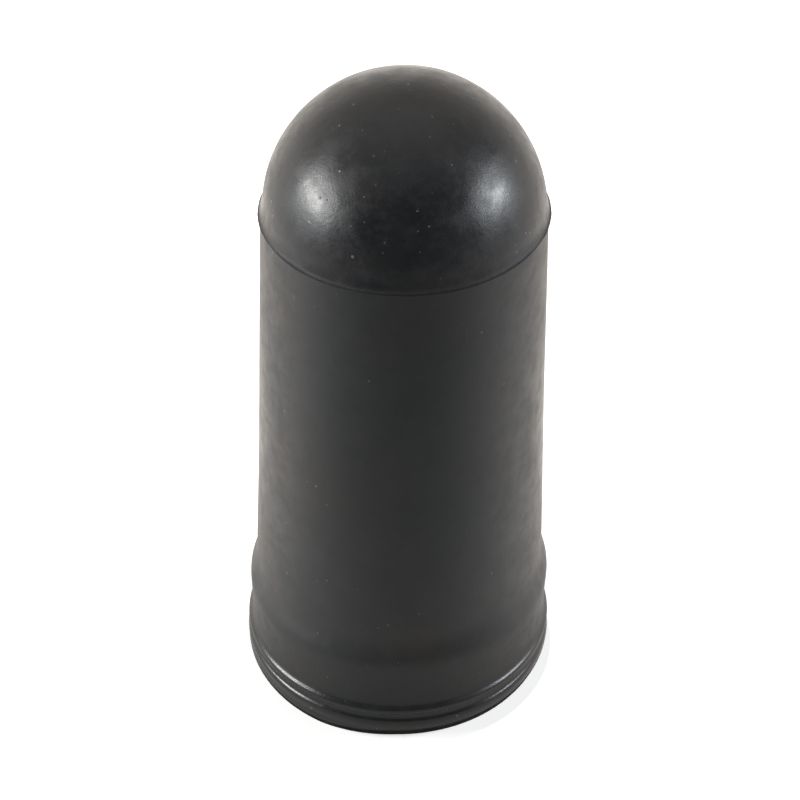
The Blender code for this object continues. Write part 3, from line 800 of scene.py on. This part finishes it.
def make_floor():
    """A pale floor, clear from below. The boot's gloss meets the two rings under it instead:
    painted shade and a painted floor reflection.
    """
    material, nodes, shader, _ = new_material("floor")
    shader.inputs["Base Color"].default_value = (0.9, 0.9, 0.9, 1)
    shader.inputs["Roughness"].default_value = 0.9
    glow = nodes.add("ShaderNodeEmission", {"Color": (1, 1, 1, 1), "Strength": 0.62})
    lit = nodes.add("ShaderNodeAddShader")
    nodes.tree.links.new(shader.outputs[0], lit.inputs[0])
    nodes.tree.links.new(glow.outputs[0], lit.inputs[1])
    clear = nodes.add("ShaderNodeBsdfTransparent")
    below = nodes.add("ShaderNodeNewGeometry").outputs["Backfacing"]
    end_in_mix(nodes, below, lit, clear, "Material Output")
    corners = [(-3, -3, 0), (3, -3, 0), (3, 3, 0), (-3, 3, 0)]
    floor = stage_floor("floor", mesh_from("floor", corners, [(0, 1, 2, 3)]), material)
    floor.location.z = -0.0001
    floor.visible_glossy = False
    floor.visible_diffuse = False


def make_contact_shade():
    """A dark ring of painted shade for the floor round the lip. Only reflections and bounced light
    meet it.
    """
    material, _, shader, _ = new_material("contact_shade")
    shader.inputs["Base Color"].default_value = (0.05, 0.05, 0.05, 1)
    mesh = lathe("contact_shade", [(CONTACT_EDGE, -0.08), (18.8, -0.08)], 96, closed=False)
    ring = stage_floor("contact_shade", mesh, material)
    ring.visible_camera = False
    ring.visible_shadow = False


def make_floor_reflection():
    """A glowing ring of painted floor reflection round the foot, which only the boot's gloss meets:
    dim in front, brighter behind, with painted shade close to the foot.
    """
    material, nodes, _, where = new_material("floor_reflection")
    depth = nodes.add("ShaderNodeSeparateXYZ", {"Vector": where}).outputs["Y"]
    front = nodes.ramp(depth, -0.060, 0.015, 0.43, 1.22)
    strength = nodes.plus(front, nodes.ramp(depth, 0.02, 0.06, 0, 2.0))
    distance = nodes.vector("LENGTH", where).outputs["Value"]
    # Painted shade: the glow is dimmer close to the foot.
    foot_shade = nodes.ramp(distance, 0.026, 0.055, 0.68, 1.30)
    strength = nodes.times(strength, foot_shade)
    behind = nodes.ramp(depth, -0.02, 0.05)
    colour = nodes.mix(behind, (1.0, 0.985, 0.965, 1), (1.0, 0.94, 0.88, 1))
    glow = nodes.add("ShaderNodeEmission", {"Color": colour, "Strength": strength})
    clear = nodes.add("ShaderNodeBsdfTransparent")
    end_in_mix(nodes, nodes.ramp(distance, 0.045, 0.095), glow, clear, "Material Output")
    mesh = lathe("floor_reflection", [(95.0, -0.09), (CONTACT_EDGE, -0.09)], 96, closed=False)
    ring = stage_floor("floor_reflection", mesh, material)
    ring.visible_camera = False
    ring.visible_diffuse = False
    ring.visible_shadow = False


def make_world():
    """A white studio that is darker on the camera's side. The camera itself sees plain white."""
    world = bpy.data.worlds.new("studio")
    bpy.context.scene.world = world
    world.use_nodes = True
    nodes = Nodes(world.node_tree)
    direction = nodes.add("ShaderNodeTexCoord").outputs["Generated"]
    way = nodes.add("ShaderNodeSeparateXYZ", {"Vector": direction}).outputs

    # Strength: from front to back, then the floor's bounce, the sides and the ceiling.
    back = nodes.ramp(way["Y"], -0.95, 0.35)
    ground = nodes.ramp(way["Z"], -0.2, -0.65, 0.0, 0.15)
    far = nodes.ramp(way["Y"], 0.45, 0.90)
    level = nodes.plus(nodes.ramp(back, 0, 1, 0.17, 1.15, smooth=False), ground)
    level = nodes.plus(level, nodes.times(far, 0.22))
    side = nodes.ramp(way["X"], -1.0, 1.0, 1.26, 0.96, smooth=False)
    ceiling = nodes.ramp(way["Z"], -0.1, 0.5, 1.0, 0.52)
    overhead = nodes.ramp(way["Z"], 0.70, 0.98, 0.0, 0.22)
    level = nodes.plus(nodes.times(nodes.times(level, side), ceiling), overhead)

    # Colour: cool in front, warm behind.
    colour = nodes.mix(back, (0.93, 0.97, 1.0, 1), (1.0, 0.975, 0.95, 1))
    warm = nodes.ramp(way["Y"], 0.0, 0.75)
    colour = nodes.mix(warm, colour, (1.0, 0.935, 0.87, 1))

    room = nodes.tree.nodes["Background"]
    nodes.put(level, room.inputs["Strength"])
    nodes.put(colour, room.inputs["Color"])
    plain = nodes.add("ShaderNodeBackground", {"Color": (1, 1, 1, 1), "Strength": 1.0})
    seen = nodes.add("ShaderNodeLightPath").outputs["Is Camera Ray"]
    end_in_mix(nodes, seen, room, plain, "World Output")


def add_softbox(name, toward, distance, width, height, power, colour):
    """A soft rectangular light that stands off from the middle of the object in one direction."""
    light = bpy.data.lights.new(name, "AREA")
    light.shape = "RECTANGLE"
    light.size, light.size_y = width, height
    light.energy = power
    light.color = colour
    box = bpy.data.objects.new(name, light)
    bpy.context.scene.collection.objects.link(box)
    aim = Vector((0, 0, 0.06))
    way = Vector(toward).normalized()
    box.location = aim + way * distance
    box.rotation_euler = (-way).to_track_quat("-Z", "Z").to_euler()


def make_camera():
    """The photograph's view: in front, above, and rolled by a little."""
    camera = bpy.data.cameras.new("camera")
    camera.lens, camera.sensor_width = 135.0, 36.0
    obj = bpy.data.objects.new("camera", camera)
    bpy.context.scene.collection.objects.link(obj)
    obj.location = (-0.0002, -0.3122, 0.3090)
    tilt = Matrix.Rotation(math.radians(90 - 40.23), 4, "X")
    roll = Matrix.Rotation(math.radians(0.87), 4, "Z")
    obj.rotation_euler = (tilt @ roll).to_euler()
    bpy.context.scene.camera = obj


make_floor()
make_contact_shade()
make_floor_reflection()
make_world()
add_softbox("softbox_left", (-0.945, -0.150, 0.285), 0.9, 0.22, 0.42, 7.2, (1.0, 0.98, 0.95))
add_softbox("glow_left", (-0.945, -0.150, 0.240), 0.95, 0.65, 0.75, 3.0, (0.80, 0.90, 1.0))
add_softbox("softbox_right", (0.940, -0.090, 0.310), 0.9, 0.18, 0.34, 4.4, (0.93, 0.96, 1.0))
add_softbox("glow_right", (0.940, -0.090, 0.260), 0.95, 0.50, 0.65, 2.0, (0.80, 0.90, 1.0))
make_camera()
bpy.context.scene.view_settings.view_transform = "Standard"
bpy.context.scene.view_settings.look = "None"
